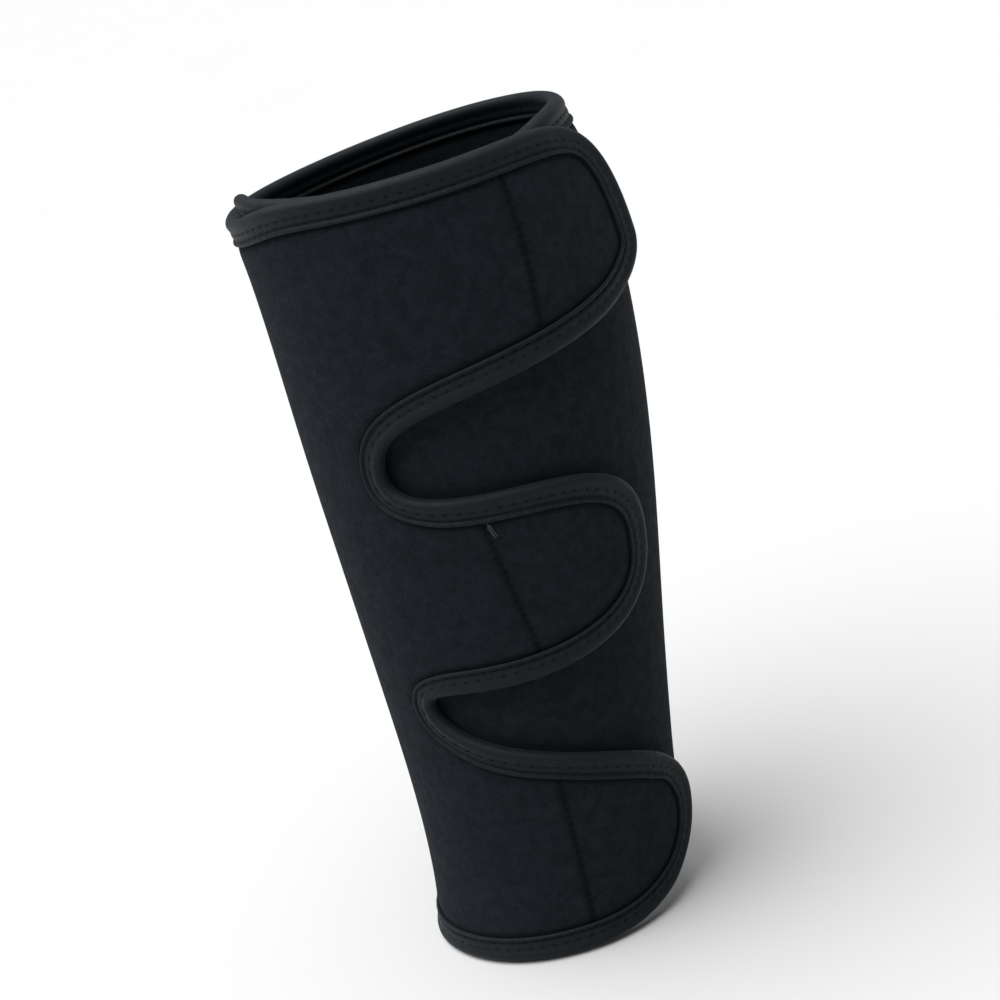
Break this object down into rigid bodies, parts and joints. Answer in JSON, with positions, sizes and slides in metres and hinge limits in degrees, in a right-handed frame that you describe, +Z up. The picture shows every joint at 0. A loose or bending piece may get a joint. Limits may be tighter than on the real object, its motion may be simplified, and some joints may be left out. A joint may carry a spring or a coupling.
{
  "type": "calf compression wrap",
  "caption": "Soft neoprene wrap wound round the lower leg, edged with tape; its outer end is cut as a wave into tongues that close with hook patches.",
  "frame": {"origin": "centre of the lower opening, on the axis of the leg at the level of the lower rim", "axes": "+Z up along the leg, +X towards the calf muscle, -X towards the shin, -Y the side where the tongues close"},
  "size_m": [0.1524, 0.1362, 0.3134],
  "materials": {
    "neoprene": "brushed loop knit, matt, near black",
    "binding_tape": "woven tape, faint sheen, black",
    "hook_tape": "nylon hook tape, black"
  },
  "bodies": {
    "root": {"wrap_panel": "neoprene", "edge_binding": "binding_tape", "hook_patch_top": "hook_tape", "hook_patch_middle": "hook_tape", "hook_patch_bottom": "hook_tape"}
  },
  "joints": []
}
